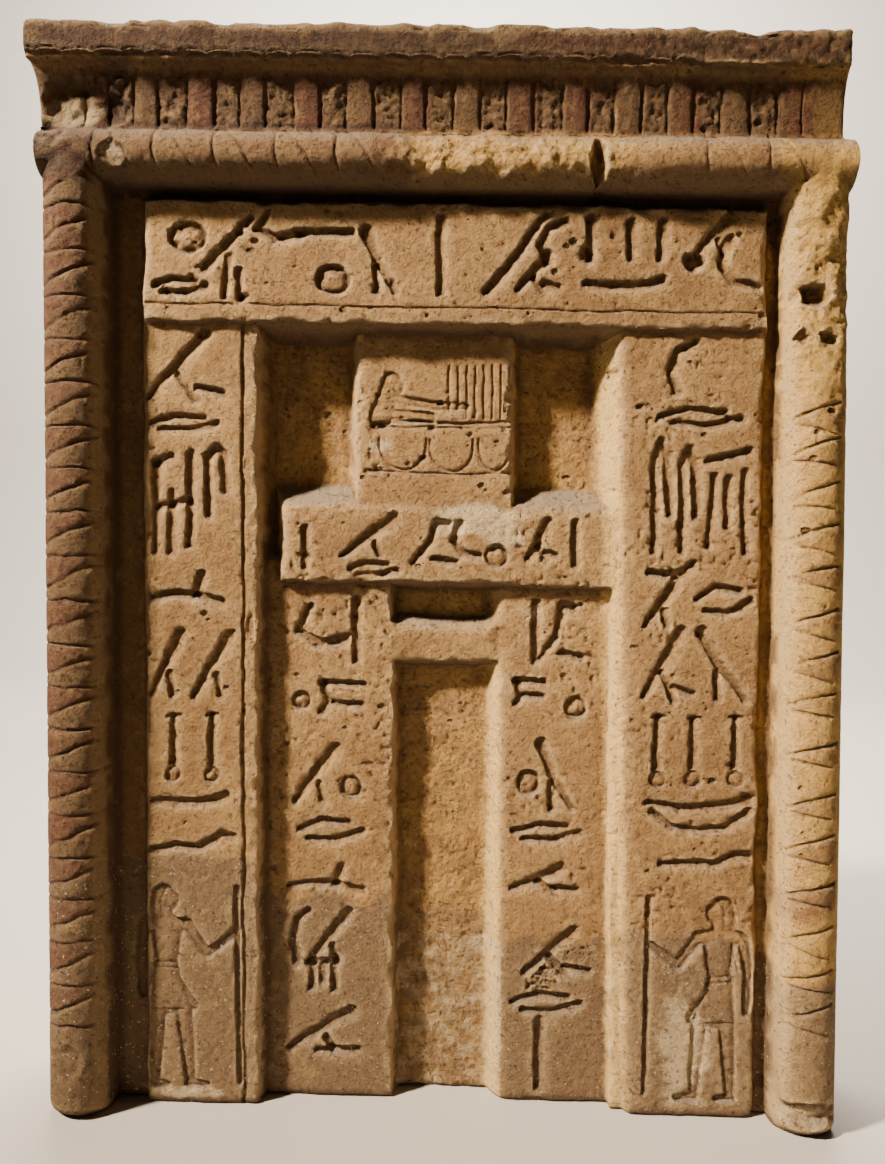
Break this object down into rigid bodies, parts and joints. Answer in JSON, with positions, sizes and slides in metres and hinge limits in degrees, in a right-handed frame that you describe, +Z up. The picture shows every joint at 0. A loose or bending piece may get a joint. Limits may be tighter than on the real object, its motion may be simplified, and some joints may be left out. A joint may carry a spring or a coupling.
{
  "type": "false door",
  "caption": "Limestone false door slab with cavetto cornice, corded torus roll, stepped jambs, lintels, drum, niche and sunk relief; stands on its underside.",
  "frame": {"origin": "middle of the underside's bounding rectangle, on the surface that the slab stands on", "axes": "+Z up, +X to the right of someone who looks at the carved front, +Y towards the back, so the front faces -Y"},
  "size_m": [0.7922, 0.137, 1.045],
  "materials": {
    "limestone": "matt, weathered, with remains of red paint"
  },
  "bodies": {
    "root": {"false_door": "limestone"}
  },
  "joints": []
}
